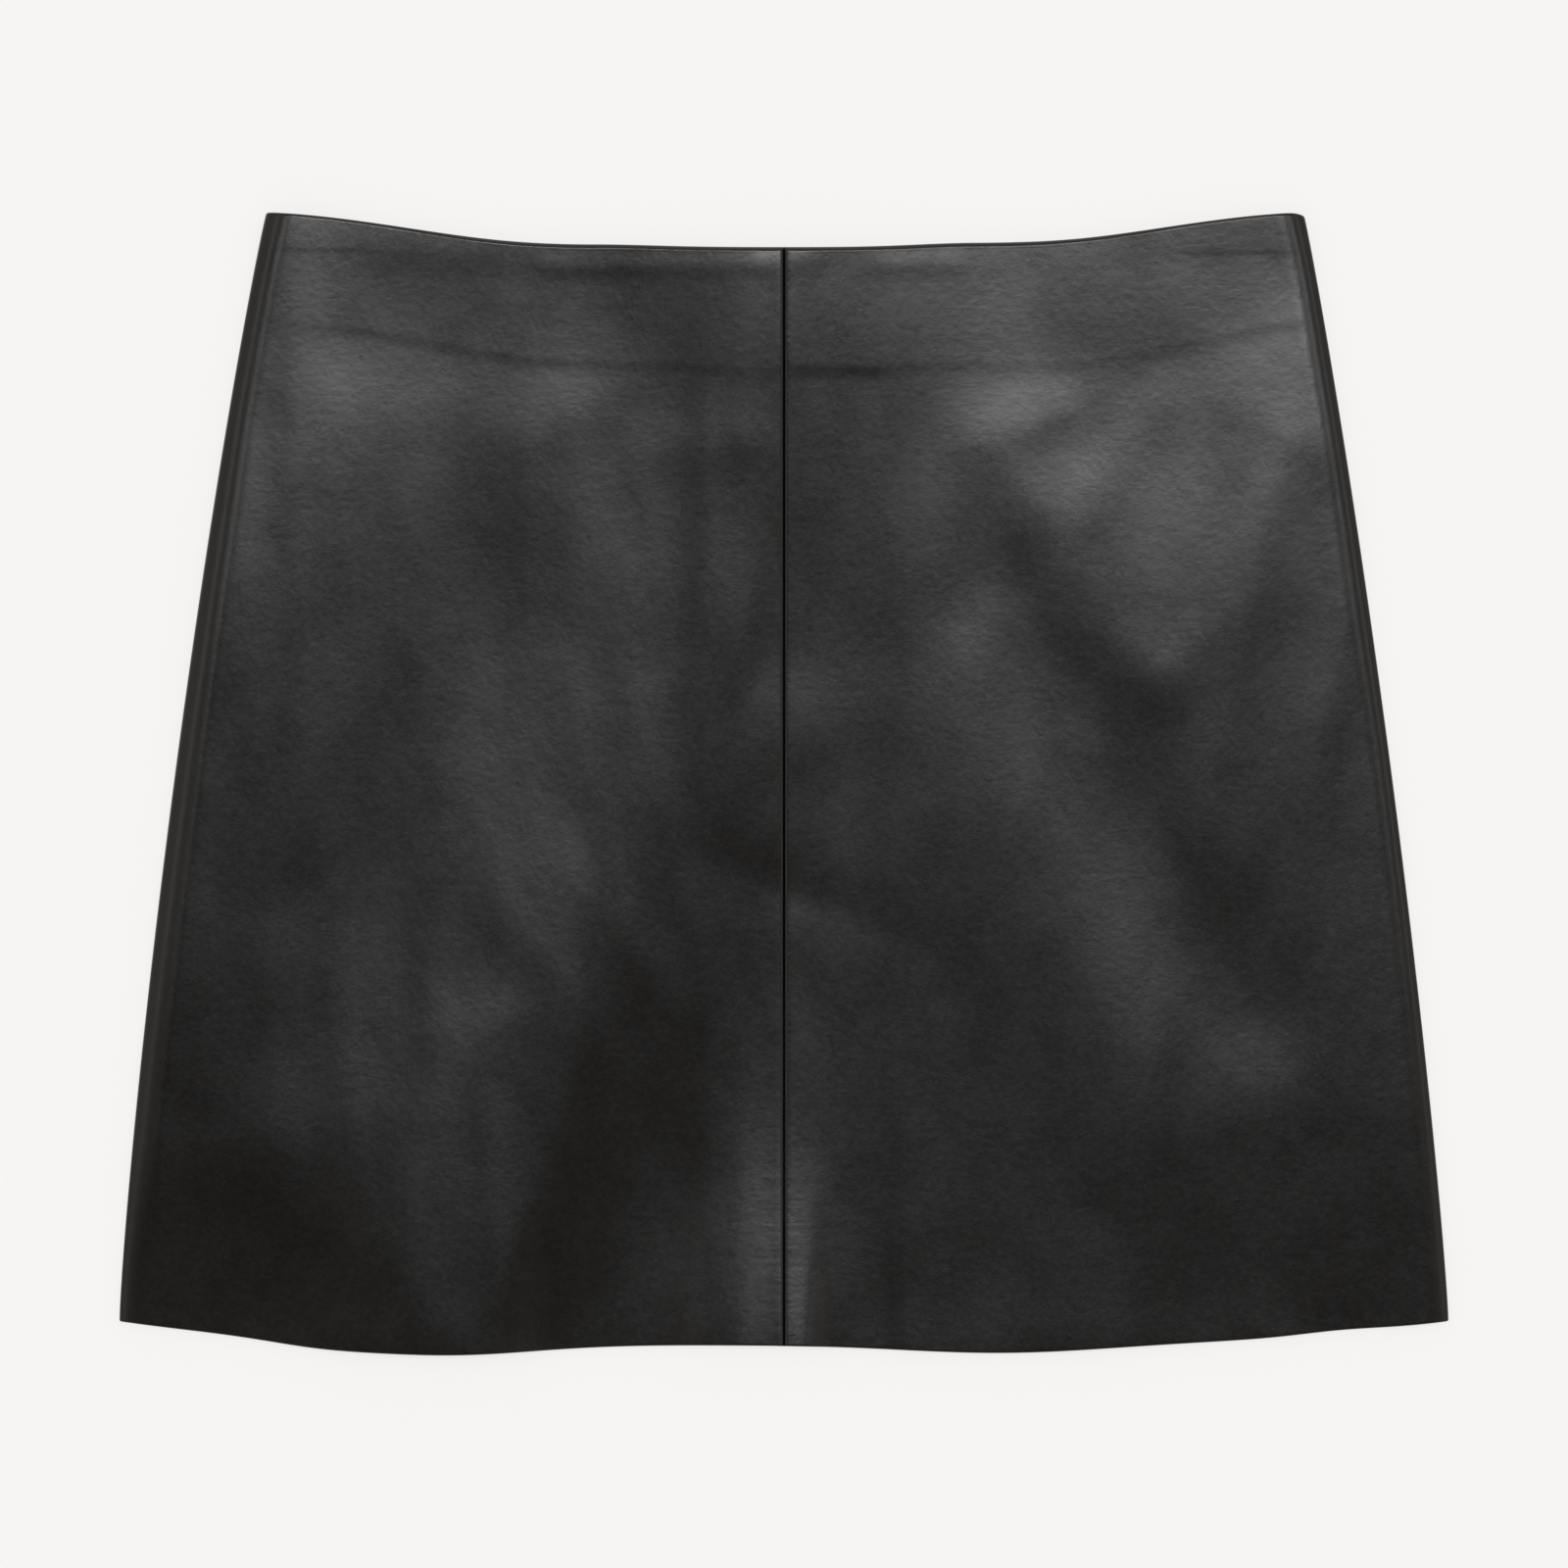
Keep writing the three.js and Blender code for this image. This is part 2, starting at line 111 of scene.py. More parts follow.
# Smaller creases, and the imprints of what is glued inside, in the same columns as the folds
CREASES = [
    ("left waist ripple", (-92, 126), (-58, 146), 0, 0.12, 14, 12, 14),
    ("left seam ripple", (-40, 122), (-16, 126), 0, 0.08, 12, 9, 12),
    ("right waist ripple", (74, 128), (99, 137), 0, 0.1, 14, 8, 12),
    ("right slant", (137, 137), (112, 103), 0, 0.12, 13, 11, 14),
    ("left facing valley", (-150, 163), (-70, 160), -2, -0.14, 20, 24, 20),
    ("left waist valley", (-142, 184), (-66, 184), 0, -0.19, 11, 24, 14),
    ("right of the seam hollow", (12, 161), (30, 161), 0, -0.22, 30, 30, 8),
    ("right facing hollow", (112, 150), (150, 150), 0, -0.24, 26, 52, 14),
    ("left shoulder", (-158, 74), (-140, 76), 0, 0.5, 60, 72, 18),
    ("left edge hollow", (-188, 126), (-176, 126), 0, -0.25, 26, 60, 9),
    ("left middle lip", (-92, 98), (-80, 98), 0, 0.3, 36, 80, 10),
    ("left side shade", (-212, 50), (-182, 50), 0, 1, 240, 110, 14),
    ("left corner drop", (-230, -128), (-190, -126), 0, 1, 120, 32, 14),
    ("left ridge flank", (-66, -54), (-82, -66), 0, 0.4, 44, 44, 14),
    ("left ridge shine", (-150, -164), (-110, -160), 0, 0.8, 88, 180, 14),
    ("left foot slope", (-136, -216), (-106, -216), 0, 0.5, 100, 20, 16),
    ("left ridge hollow", (-114, -98), (-106, -98), 0, -0.24, 24, 44, 11),
    ("left of the ridge", (-154, -72), (-142, -72), 0, -0.36, 70, 46, 10),
    ("left ridge brow", (-102, -92), (-84, -92), 0, 0.44, 60, 110, 10),
    ("trough middle", (-56, -44), (-40, -40), 0, 0.36, 60, 44, 10),
    ("trough brow", (-26, -52), (16, -52), 0, 0.4, 42, 60, 13),
    ("trough lip", (-20, -34), (-8, -34), 0, 0.2, 26, 40, 8),
    ("seam valley lip", (8, -50), (30, -56), 0, 0.12, 16, 20, 8),
    ("seam foot brow", (-26, -136), (-18, -136), 0, 0.42, 34, 60, 10),
    ("left of the seam rise", (-26, 66), (-18, 66), 0, 0.75, 100, 260, 11),
    ("right hip lip", (82, 72), (100, 70), 0, 0.46, 34, 44, 10),
    ("right ridge foot", (106, -150), (128, -152), 0, 0.7, 80, 120, 13),
    ("right slant lip", (102, 30), (114, 28), 0, 0.28, 24, 60, 10),
    ("right edge hollow", (180, 128), (204, 126), 0, -0.26, 24, 30, 10),
    ("left hem edge", (-158, -214), (-104, -215), 0, 0.36, 22, 10, 14),
    ("right hem edge", (36, -212), (178, -208), 0, 0.22, 17, 10, 16),
    ("right hollow shade", (44, 36), (64, 36), 0, 0.5, 150, 110, 20),
    ("right side shade", (168, 36), (198, 30), 0, 0.6, 120, 62, 12),
    ("left of the seam", (-50, 118), (-14, 122), 0, 0.28, 22, 30, 14),
    ("right corner valley", (160, 178), (190, 180), 0, -0.15, 22, 20, 12),
    ("left upper crest", (-160, 130), (-80, 132), 0, 0.15, 20, 40, 20),
    ("waist shade", (-40, 206), (110, 208), 0, 0.2, 20, 18, 20),
    ("right upper shade", (104, 186), (162, 188), 0, 0.4, 90, 34, 14),
    ("trough head", (-56, 52), (-22, 56), 0, 0.4, 60, 60, 14),
    ("trough floor", (-78, -206), (-8, -40), 0, -0.55, 34, 60, 16),
    ("right hollow", (60, 0), (86, -4), 0, 0.2, 90, 26, 10),
    ("right tip", (116, 8), (146, 8), 0, 0.62, 27, 80, 14),
    ("left facing imprint", (-162, 169), (-22, 154), -4, 0.045, 26, 3.2, 16),
    ("right facing imprint", (36, 154.5), (190, 171), -6, 0.035, 26, 3.4, 14),
    ("facing imprint by the seam", (3, 154.5), (34, 154), 0, 0.075, 22, 3.4, 6),
    ("left edge band", (-192, 214), (-140, 211), 0, 0.16, 10, 14, 12),
    ("left edge band line", (-182, 197), (-156, 196.5), 0, 0.02, 6, 0.9, 6),
    ("right edge band", (134, 212), (196, 214), 0, 0.32, 10, 16, 12),
    ("right edge band line", (146, 196), (190, 195.8), 0, 0.02, 6, 0.9, 6),
    ("left waist roll", (-84, 190), (-10, 190.5), 0, 0.06, 3.5, 4.5, 8),
    ("right waist roll", (38, 190.5), (60, 191), 0, 0.05, 3.5, 4, 7),
    ("right of the seam top", (4, 196), (12, 196), 0, 0.08, 3, 8, 4),
    ("seam top dip", (-7, 200), (7, 200), 0, -0.16, 4, 5, 5),
    ("seam foot lip", (-14, -236), (6, -236), 0, 0.9, 36, 20, 8),
    ("seam allowance", (2, -236), (8.5, -236), 0, 0.45, 60, 20, 4),
    ("beside the seam allowance", (18, -236), (36, -236), 0, -0.75, 80, 20, 6),
    ("left corner shade", (-222, -50), (-168, -54), 0, 0.55, 120, 80, 14),
]


def smooth(value):
    value = np.clip(value, 0, 1)
    return value**2 * (3 - 2 * value)


def mix(start, end, share):
    return start + (end - start) * share


def bell(distance, width):
    return np.exp(-((distance / width) ** 2))


def band(distance, deep, run):
    """1 inside the depth and 0 beyond it, with a soft step as long as its run between."""
    return 1 - smooth((distance - deep) / run + 0.5)


def fall_back(distance, radius):
    """How far a rounded edge has fallen back at a distance from it."""
    inside = np.clip(radius - distance, 0, radius)
    return radius - np.sqrt(radius**2 - inside**2)


def waist_edge_fall(distance, x):
    """The front's turned waist edge slopes down to a thin lip, and stands just proud of the panel."""
    full = 1 - smooth((np.abs(x) - 90) / 90)
    slope = 1.1 * (mix(0.5, 1.15, full) - distance)
    chamfer = 0.5 * (slope + np.hypot(slope, 0.1)) * (distance < 6)
    lip = 0.035 * full * (1 - smooth((distance - 1.85) / 0.45))
    return chamfer + fall_back(distance, 0.4) - lip


def waves(table, x):
    return sum(reach * bell(x - at, width) for at, reach, width in table)


def waist_y(x):
    return WAIST_MIDDLE_Y + CORNER_RISE * smooth((np.abs(x) - 70) / 128) + waves(WAIST_WAVES, x)


def hem_y(x):
    return HEM_MIDDLE_Y + 8.7 * (np.abs(x) / HALF_HEM) ** 4 + waves(HEM_WAVES, x)


def half_width(side, down):
    """Half the skirt's width on one side, at a share of the way from waist to hem."""
    bow = SIDE_BOW[side] * (4 * down * (1 - down)) ** 0.8
    return mix(HALF_WAIST[side], HALF_HEM, down) + bow


def fold_lift(fold, x, y):
    start, end, bow, lift, above, below, taper = fold[1:]
    length = math.dist(start, end)
    along = ((end[0] - start[0]) / length, (end[1] - start[1]) / length)
    up = (-along[1], along[0]) if along[0] >= 0 else (along[1], -along[0])
    share = ((x - start[0]) * along[0] + (y - start[1]) * along[1]) / length
    inside = np.clip(share, 0, 1)
    off = (x - start[0]) * up[0] + (y - start[1]) * up[1] - bow * np.sin(np.pi * inside) ** 2
    width = np.where(off > 0, above, below)
    return lift * bell(off, width) * bell((share - inside) * length, taper)


def arch_lift(x, y):
    """The back arches over the zip's slider and tab, which lie under it."""
    across = 1 - smooth((np.abs(x) - 5) / 75)
    return ARCH_HIGH * across * smooth((y - 40) / (HINGE_Y - 40))


def front_lift(x, y):
    """How far the front stands off the back."""
    wanted = PLAIN_LIFT + sum(fold_lift(fold, x, y) for fold in FOLDS)
    raised = soft_limit(wanted, LEAST_LIFT, 0.3)
    lifted = MOST_LIFT - soft_limit(MOST_LIFT - raised, 0, 0.3)
    zip_foot = WAIST_MIDDLE_Y - ZIP_LENGTH
    over_zip = (1 - smooth((np.abs(x) - 4) / 90)) * smooth((y - zip_foot + 80) / 80)
    return mix(lifted, soft_limit(lifted, ZIP_LIFT, 0.5), over_zip)


def soft_limit(value, lowest, blend):
    """The value, but never below the lowest, which it nears in a curve."""
    above = value - lowest
    return lowest + 0.5 * (above + np.hypot(above, blend))


def creases(x, y):
    return sum(fold_lift(crease, x, y) for crease in CREASES)


def wall_thickness(from_waist, from_hem, from_seam):
    return (LEATHER + 0.5 * band(from_waist, FACING_DEEP, 3) + 0.3 * band(from_waist, TURNED_EDGE_DEEP, 3)
            + 0.3 * band(from_hem, HEM_TURN_DEEP, 3) + 0.4 * band(from_seam, SEAM_TURN_DEEP, 3))


def eased_thickness(from_waist, from_hem, from_seam):
    """A wall's thickness as it shows outside, where the leather eases over the turned edges."""
    return (LEATHER + 0.5 * band(from_waist, 80, 160) + 0.3 * band(from_waist, 40, 90)
            + 0.3 * band(from_hem, 30, 90) + 0.4 * band(from_seam, 14, 44))


def front_height(x, y, from_waist, from_hem, from_seam):
    """How high the front's outside is above the back's underside."""
    return 2 * eased_thickness(from_waist, from_hem, from_seam) + LAYER_GAP + front_lift(x, y)


def back_seam_half(y):
    """Half the gap of the centre back seam, which parts round the slider's neck."""
    parted = 1 - smooth((np.abs(y - HINGE_Y) - SLIDER_LONG / 2) / 9)
    return mix(SEAM_CLOSE, NECK_HALF, parted)


def lines_between(first, last, total, pitch, fine):
    """Distances of grid lines: close near both edges and each fine place, and even elsewhere."""
    start, end = first[-1], total - last[0]
    distance = np.linspace(start, end, 3000)
    density = np.ones(distance.size) + sum(more * bell(distance - at, reach) for at, reach, more in fine)
    travelled = np.concatenate([[0], np.cumsum(density[1:])]) * (distance[1] - distance[0])
    count = round(travelled[-1] / pitch)
    middle = np.interp(np.linspace(0, travelled[-1], count + 1)[1:-1], travelled, distance)
    return np.concatenate([first, middle, total - np.array(last)])


def made_from(bm, name):
    """The finished bmesh as an object in the scene, shaded smooth."""
    mesh = bpy.data.meshes.new(name)
    bm.to_mesh(mesh)
    bm.free()
    mesh.shade_smooth()
    made = bpy.data.objects.new(name, mesh)
    bpy.context.collection.objects.link(made)
    return made


def panel(name, layer, side, pitch, fine=()):
    """One panel as a closed wall, from the centre seam to the side seam, extruded from a grid."""
    rows = lines_between(WAIST_LINES, HEM_LINES, LENGTH, pitch, fine)
    flat_count = round(215 / pitch)
    column_count = len(SEAM_LINES) + flat_count + ROLL_STEPS

    bm = bmesh.new()
    bmesh.ops.create_grid(bm, x_segments=column_count - 1, y_segments=len(rows) - 1, size=0.5)
    outside = list(bm.verts)
    made = bmesh.ops.extrude_face_region(bm, geom=list(bm.faces), use_keep_orig=True)
    inside = [item for item in made["geom"] if isinstance(item, bmesh.types.BMVert)]
    for surface, verts in (("outside", outside), ("inside", inside)):
        grid = np.array([vert.co[:2] for vert in verts])
        column = np.rint((grid[:, 0] + 0.5) * (column_count - 1)).astype(int)
        row = np.rint((0.5 - grid[:, 1]) * (len(rows) - 1)).astype(int)
        places = panel_points(layer, side, surface, rows[row], column, flat_count)
        for vert, place in zip(verts, places * MM):
            vert.co = place
    bmesh.ops.recalc_face_normals(bm, faces=list(bm.faces))
    return made_from(bm, name)


def panel_points(layer, side, surface, from_waist, column, flat_count):
    """Where the points of a panel's grid lie, in millimetres."""
    sign = -1 if side == "left" else 1
    down = from_waist / LENGTH
    from_hem = LENGTH - from_waist
    widest = half_width(side, down)
    roll_start = widest - ROLL
    edge = np.maximum(fall_back(from_waist, 0.9), fall_back(from_hem, 0.6))

    def place_y(x):
        share = x / widest
        top = waist_y(sign * share * HALF_WAIST[side])
        bottom = hem_y(sign * share * HALF_HEM)
        inset = 0.8 * (1 - share**4) * (1 - 2 * down) if layer == "back" else 0
        return mix(top, bottom, down) - inset

    last_seam = len(SEAM_LINES) - 1
    seam_part = SEAM_LINES[np.minimum(column, last_seam)]
    flat_part = np.clip((column - last_seam) / flat_count, 0, 1)
    from_seam = np.where(column <= last_seam, seam_part, mix(SEAM_LINES[-1], roll_start, flat_part))
    seam_half = back_seam_half(place_y(from_seam)) if layer == "back" else SEAM_CLOSE
    x = mix(seam_half + from_seam, from_seam, from_seam / roll_start)
    y = place_y(x)
    thick = wall_thickness(from_waist, from_hem, from_seam)
    arch = arch_lift(x, y)
    if layer == "front":
        turned = np.where(from_waist < LENGTH / 2, waist_edge_fall(from_waist, x), edge)
        rounded = np.maximum(turned, fall_back(from_seam, 1.5))
        top = arch + front_height(sign * x, y, from_waist, from_hem, from_seam)
        crease = creases(sign * x, y)
        level = top - rounded + crease if surface == "outside" else top - thick + np.maximum(crease, 0)
    else:
        rounded = np.maximum(edge, fall_back(from_seam, 0.6))
        level = arch + rounded if surface == "outside" else arch + thick

    step = np.clip(column - last_seam - flat_count, 0, ROLL_STEPS)
    roll_y = place_y(roll_start)
    middle = front_height(sign * roll_start, roll_y, from_waist, from_hem, roll_start) / 2
    hollow_half = middle - wall_thickness(from_waist, from_hem, roll_start)
    wide = ROLL - edge if surface == "outside" else ROLL - LEATHER
    high = middle - edge if surface == "outside" else hollow_half
    angle = mix(np.pi / 2, np.arcsin(SEAM_GAP / 2 / high), step / ROLL_STEPS)
    roll_x = roll_start + wide * np.cos(angle)
    turn = 1 if layer == "front" else -1
    roll_z = middle + turn * high * np.sin(angle)
    crest = creases(sign * roll_start, roll_y) * (1 - step / ROLL_STEPS)
    if layer == "front":
        roll_z = roll_z + (crest if surface == "outside" else np.maximum(crest, 0))
    rolled = step > 0
    return np.stack([
        sign * np.where(rolled, roll_x, x),
        np.where(rolled, place_y(roll_x), y),
        np.where(rolled, roll_z, level),
    ], axis=1)


class Value:
    """An output of a material's nodes, on which Python's operators add Math nodes."""

    def __init__(self, maker, socket):
        self.maker = maker
        self.socket = socket

    def math(self, operation, *others):
        return self.maker.node("ShaderNodeMath", {"operation": operation}, [self, *others])

    def __add__(self, other):
        return self.math("ADD", other)

    def __sub__(self, other):
        return self.math("SUBTRACT", other)

    def __rsub__(self, other):
        return self.maker.node("ShaderNodeMath", {"operation": "SUBTRACT"}, [other, self])

    def __mul__(self, other):
        return self.math("MULTIPLY", other)

    def __truediv__(self, other):
        return self.math("DIVIDE", other)

    def __pow__(self, other):
        return self.math("POWER", other)

    def __abs__(self):
        return self.math("ABSOLUTE")

    __radd__ = __add__
    __rmul__ = __mul__


class Maker:
    """Makes the nodes of one material."""

    def __init__(self, name):
        self.material = bpy.data.materials.new(name)
        self.material.use_nodes = True
        self.tree = self.material.node_tree
        self.shader = self.tree.nodes["Principled BSDF"]

    def node(self, kind, settings, inputs, output=0):
        """Adds a node, its settings first and then its sockets, and returns one of its outputs."""
        node = self.tree.nodes.new(kind)
        for name, value in settings.items():
            setattr(node, name, value)
        named = inputs.items() if isinstance(inputs, dict) else enumerate(inputs)
        for name, value in named:
            self.feed(node.inputs[name], value)
        return Value(self, node.outputs[output])

    def feed(self, socket, value):
        if isinstance(value, Value):
            self.tree.links.new(value.socket, socket)
        else:
            socket.default_value = value

    def finish(self, **sockets):
        for name, value in sockets.items():
            self.feed(self.shader.inputs[name.replace("_", " ")], value)
        return self.material


def leather_material(name, seamed):
    """Black nappa: near-black dye, a satin finish, pebbled grain, and patches of fine wrinkles."""
    make = Maker(name)
    place = make.node("ShaderNodeTexCoord", {}, {}, "Object")
    split = make.node("ShaderNodeSeparateXYZ", {}, [place])
    across = Value(make, split.socket.node.outputs["X"])
    along = Value(make, split.socket.node.outputs["Y"])

    def noise(scale, stretch=(1, 1, 1), detail=3.0, roughness=0.55):
        mapped = make.node("ShaderNodeMapping", {}, {"Vector": place, "Scale": stretch})
        return make.node("ShaderNodeTexNoise", {}, {
            "Vector": mapped, "Scale": scale, "Detail": detail, "Roughness": roughness}, "Fac")

    def patch(x, y, half_wide, half_high):
        """1 in the middle of an oval patch and 0 outside it, its sizes in millimetres."""
        wide = (across - x * MM) / (half_wide * MM)
        high = (along - y * MM) / (half_high * MM)
        return make.node("ShaderNodeClamp", {}, [1 - wide * wide - high * high])

    mottle = noise(22, detail=1.0)
    dapple = noise(40, (1.6, 1, 1), detail=3.5, roughness=0.55)
    pebble = noise(440, (1.3, 1, 1), detail=1.5, roughness=0.6)
    wrinkle = noise(200, (1, 2.4, 1), detail=2.0, roughness=0.6)
    fleck = noise(380, detail=3.0, roughness=0.65)
    wrinkled = make.node("ShaderNodeClamp", {}, [(mottle - 0.5) * 5])
    pores = make.node("ShaderNodeTexVoronoi", {"feature": "F1"}, {
        "Vector": place, "Scale": 950.0}, "Distance")
    height = dapple * 0.4 + pebble * 0.07 + wrinkle * (0.03 + wrinkled * 0.035) + pores * 0.012
    if seamed:
        crinkle = noise(620, (1, 0.3, 1), detail=1.0)
        crinkled = patch(25, 172, 11, 20) + patch(-56, 174, 8, 12)
        near_seam = patch(0, -170, 10, 60)
        pucker = noise(75, (0.35, 4, 1), detail=1.0)
        turns = make.node("ShaderNodeMath", {"operation": "COSINE"}, [along * (2 * math.pi / (3 * MM))])
        stitched = make.node("ShaderNodeClamp", {}, [1 - abs(across - 1.7 * MM) / (0.45 * MM)])
        height = height + crinkle * crinkled * 0.12 + pucker * near_seam * 0.14 + stitched * turns * 0.02
    bump = make.node("ShaderNodeBump", {}, {"Strength": 0.2, "Distance": 0.0012, "Height": height}, "Normal")
    colour = make.node("ShaderNodeMix", {"data_type": "RGBA"}, {
        0: mottle, 6: (0.0042, 0.0034, 0.0028, 1), 7: (0.0058, 0.0051, 0.0048, 1)}, 2)
    rough = 0.121 + mottle * 0.04 + dapple * 0.05 + fleck * 0.07 + pores * 0.02
    return make.finish(Base_Color=colour, Roughness=rough, Normal=bump)


front_leather = leather_material("front_nappa", seamed=True)
for side in ("left", "right"):
    front = panel(f"nappa_front_{side}", "front", side, pitch=1.9, fine=FRONT_FINE)
    front.data.materials.append(front_leather)
    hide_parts(f"front_panel_{side}")
    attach(front, "skirt")

# Hem tack
# A few turns of black thread hold the seam's end at the hem, with one short loop on each side.

THREAD = 0.24
TACK_Y = -202.3
TACK_X = {"left": -2.7, "right": 2.9}
TACK_LONG = 2.2
TACK_HIGH = 0.4


def thread_loop(name, x, y):
    """One loop of thread, which comes out of the leather and goes back in."""
    bm = bmesh.new()
    bmesh.ops.create_circle(bm, cap_ends=True, segments=8, radius=THREAD)
    bmesh.ops.translate(bm, verts=bm.verts, vec=(TACK_LONG / 2, 0, -THREAD))
    bmesh.ops.spin(
        bm, geom=bm.verts[:] + bm.edges[:] + bm.faces[:], cent=(0, 0, -THREAD), axis=(0, -1, 0),
        angle=math.pi, steps=12, use_duplicate=False)
    bmesh.ops.recalc_face_normals(bm, faces=list(bm.faces))
    from_waist = WAIST_MIDDLE_Y - y
    seat = front_height(x, y, from_waist, LENGTH - from_waist, abs(x)) + creases(x, y)
    for vert in bm.verts:
        high = TACK_HIGH * (vert.co.z + THREAD) - THREAD / 2
        vert.co = Vector((x + vert.co.x, y + vert.co.y + 0.12 * vert.co.x, seat + high)) * MM
    return made_from(bm, name)


def thread_material():
    """Black waxed thread: darker and duller than the leather, with a faint twist."""
    make = Maker("black_thread")
    place = make.node("ShaderNodeTexCoord", {}, {}, "Object")
    twist = make.node("ShaderNodeTexWave", {"bands_direction": "DIAGONAL"}, {
        "Vector": place, "Scale": 900.0, "Distortion": 1.0}, "Fac")
    colour = make.node("ShaderNodeMix", {"data_type": "RGBA"}, {
        0: twist, 6: (0.003, 0.003, 0.003, 1), 7: (0.008, 0.008, 0.008, 1)}, 2)
    return make.finish(Base_Color=colour, Roughness=0.6 + twist * 0.1)


thread = thread_material()
for side in ("left", "right"):
    tack = thread_loop(f"hem_tack_{side}", TACK_X[side], TACK_Y)
    tack.data.materials.append(thread)
    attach(tack, "skirt")

# Back panels
# Two panels of the same nappa, cut like the fronts, which carry them. They rest flat on the
# table, and arch over the zip's slider and tab at the waist.

back_leather = leather_material("back_nappa", seamed=False)
for side in ("left", "right"):
    back = panel(f"nappa_back_{side}", "back", side, pitch=2.6)
    back.data.materials.append(back_leather)
    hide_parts(f"back_panel_{side}")
    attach(back, "skirt")

# Zip
# A concealed nylon zip closes the centre back. Its two coils, closed, lie along the inside of the
# seam. The slider's neck comes out between the panels, and carries a flat drop-shaped tab.

COIL_PITCH = 1.5
COIL_THICK = 1.2
COIL_THREAD = 0.28
COIL_TOP_Y = HINGE_Y - SLIDER_LONG / 2 - 0.3


def coil(name, sign):
    """One coil of the chain: a thread wound round its line, and flattened onto the back panel."""
    turns = round(ZIP_LENGTH / COIL_PITCH) - 1
    steps = 12
    bm = bmesh.new()
    bmesh.ops.create_circle(bm, cap_ends=True, segments=6, radius=COIL_THREAD)
    bmesh.ops.translate(bm, verts=bm.verts, vec=(sign, COIL_TOP_Y - (0.5 if sign < 0 else 1.25), 0))
    bmesh.ops.spin(
        bm, geom=bm.verts[:] + bm.edges[:] + bm.faces[:], cent=(0, 0, 0), axis=(0, 1, 0),
        dvec=(0, -COIL_PITCH / steps, 0), angle=2 * math.pi * turns, steps=turns * steps, use_duplicate=False)
    bmesh.ops.recalc_face_normals(bm, faces=list(bm.faces))
    for vert in bm.verts:
        x, y, z = vert.co
        from_waist = WAIST_MIDDLE_Y - y
        seat = arch_lift(0, y) + wall_thickness(from_waist, LENGTH - from_waist, 0) + LAYER_GAP
        flat_z = seat + COIL_THICK / 2 + z * COIL_THICK / 2 / (1 + COIL_THREAD)
        vert.co = Vector((x - sign, y, flat_z)) * MM
    return made_from(bm, name)


def eased_copy(name, node, radius):
    """A hard piece as in the frame, with its sharp edges rounded."""
    bm = bmesh.new()
    bm.from_mesh(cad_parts[node].data)
    bmesh.ops.remove_doubles(bm, verts=bm.verts, dist=0.005 * MM)
    bmesh.ops.dissolve_limit(bm, angle_limit=math.radians(1), verts=bm.verts, edges=bm.edges)
    sharp = [edge for edge in bm.edges if edge.is_manifold and edge.calc_face_angle() > math.radians(40)]
    bmesh.ops.bevel(
        bm, geom=sharp, offset=radius * MM, segments=2, profile=0.5, affect="EDGES", material=-1)
    made = made_from(bm, name)
    made.data.set_sharp_from_angle(angle=math.radians(30))
    return made


def plain_noise(make, scale, detail):
    place = make.node("ShaderNodeTexCoord", {}, {}, "Object")
    return make.node("ShaderNodeTexNoise", {}, {"Vector": place, "Scale": scale, "Detail": detail}, "Fac")


def nylon_material():
    """Black nylon: a dull thread with a faint sheen."""
    make = Maker("zip_nylon")
    fleck = plain_noise(make, 900.0, 2.0)
    colour = make.node("ShaderNodeMix", {"data_type": "RGBA"}, {
        0: fleck, 6: (0.008, 0.008, 0.009, 1), 7: (0.02, 0.02, 0.021, 1)}, 2)
    return make.finish(Base_Color=colour, Roughness=0.42 + fleck * 0.15)


def enamel_material():
    """Black enamel on die-cast zinc, rubbed through to the metal in small chips."""
    make = Maker("zip_enamel")
    worn = plain_noise(make, 420.0, 4.0)
    chips = make.node("ShaderNodeClamp", {}, [(worn - 0.66) * 14])
    colour = make.node("ShaderNodeMix", {"data_type": "RGBA"}, {
        0: chips, 6: (0.011, 0.011, 0.012, 1), 7: (0.42, 0.41, 0.39, 1)}, 2)
    bump = make.node("ShaderNodeBump", {}, {"Strength": 0.15, "Distance": 0.0002, "Height": worn}, "Normal")
    return make.finish(Base_Color=colour, Metallic=chips, Roughness=0.24 + worn * 0.16, Normal=bump)


nylon = nylon_material()
for side, sign in (("left", -1), ("right", 1)):
    half_chain = coil(f"zip_coil_{side}", sign)
    half_chain.data.materials.append(nylon)
    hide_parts("zip_chain")
    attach(half_chain, "skirt")

enamel = enamel_material()
for name, node, body in (("slider", "zip_slider", "skirt"), ("pull_tab", "zip_pull_tab", "pull_tab")):
    cast = eased_copy(f"enamelled_{name}", node, radius=0.15)
    cast.data.materials.append(enamel)
    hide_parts(node)
    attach(cast, body)

# Table
# A pale, matt studio table, which isn't part of the skirt.

table_top = bmesh.new()
bmesh.ops.create_grid(table_top, x_segments=1, y_segments=1, size=4)
table = made_from(table_top, "table")
paint = Maker("table_paint")
table.data.materials.append(paint.finish(
    Base_Color=(0.2, 0.198, 0.195, 1), Roughness=0.9, Emission_Color=(1, 0.99, 0.985, 1),
    Emission_Strength=0.775))

# Studio
# A high soft light just beyond the waist with two weaker ones on each side of it, a dim ceiling
# and a pale horizon. The camera looks straight down, as in the photograph.

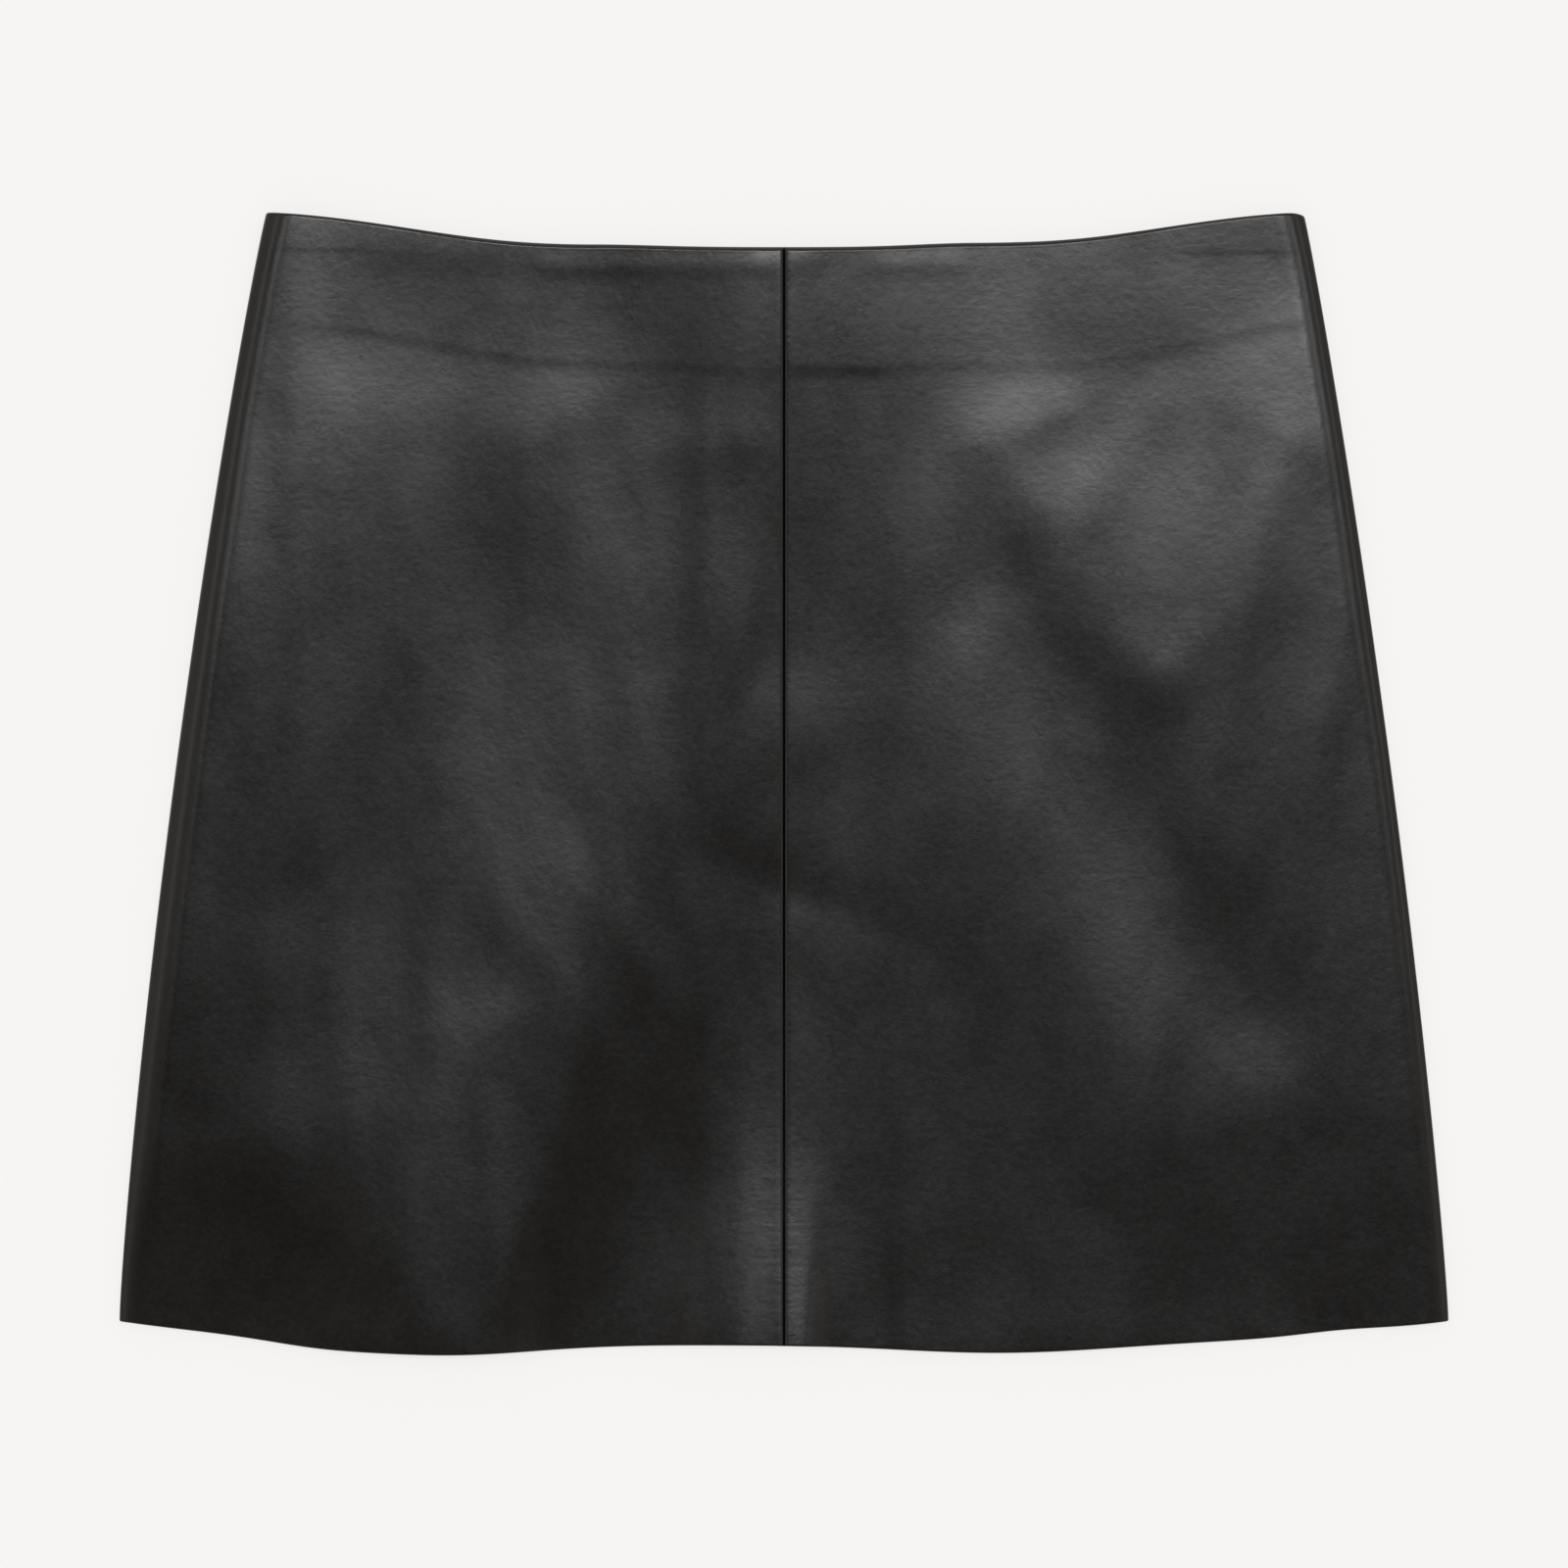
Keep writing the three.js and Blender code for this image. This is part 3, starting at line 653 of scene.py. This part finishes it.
def soft_light(name, place, size, power, colour):
    """A rectangular light aimed at the skirt."""
    light = bpy.data.lights.new(name, "AREA")
    light.shape = "RECTANGLE"
    light.size, light.size_y = size
    light.energy = power
    light.color = colour
    holder = bpy.data.objects.new(name, light)
    holder.location = place
    holder.rotation_euler = Vector(place).to_track_quat("Z", "Y").to_euler()
    holder.visible_camera = False
    bpy.context.collection.objects.link(holder)


soft_light("waist_light", (0.1, 0.78, 4.94), (1.8, 0.36), 38, (0.985, 0.985, 1))
for name, side in (("left", -1), ("right", 1)):
    soft_light(f"near_{name}_light", (0.1 + 1.5 * side, 0.78, 4.7), (1.2, 0.36), 5.5, (0.985, 0.985, 1))
    soft_light(f"far_{name}_light", (0.1 + 2.8 * side, 0.78, 4.1), (1.4, 0.36), 2, (1, 0.97, 0.93))

world = bpy.data.worlds.new("studio")
bpy.context.scene.world = world
world.use_nodes = True
background = world.node_tree.nodes["Background"]
background.inputs["Color"].default_value = (1, 0.94, 0.86, 1)
sky = world.node_tree.nodes.new("ShaderNodeTexCoord")
sky_height = world.node_tree.nodes.new("ShaderNodeSeparateXYZ")
sky_strength = world.node_tree.nodes.new("ShaderNodeMapRange")
for name, value in (("From Min", 0.975), ("From Max", 0.84), ("To Min", 0.02), ("To Max", 0.62)):
    sky_strength.inputs[name].default_value = value
world.node_tree.links.new(sky.outputs["Generated"], sky_height.inputs["Vector"])
world.node_tree.links.new(sky_height.outputs["Z"], sky_strength.inputs["Value"])
world.node_tree.links.new(sky_strength.outputs["Result"], background.inputs["Strength"])

camera_data = bpy.data.cameras.new("camera")
camera_data.sensor_width = 36
CAMERA_HEIGHT = 6
FRAME_WIDTH = 0.576
camera_data.lens = 36 * CAMERA_HEIGHT / FRAME_WIDTH
camera_data.clip_end = 50
camera = bpy.data.objects.new("camera", camera_data)
camera.location = (0, 0, CAMERA_HEIGHT)
bpy.context.collection.objects.link(camera)
bpy.context.scene.camera = camera
bpy.context.scene.view_settings.view_transform = "Standard"
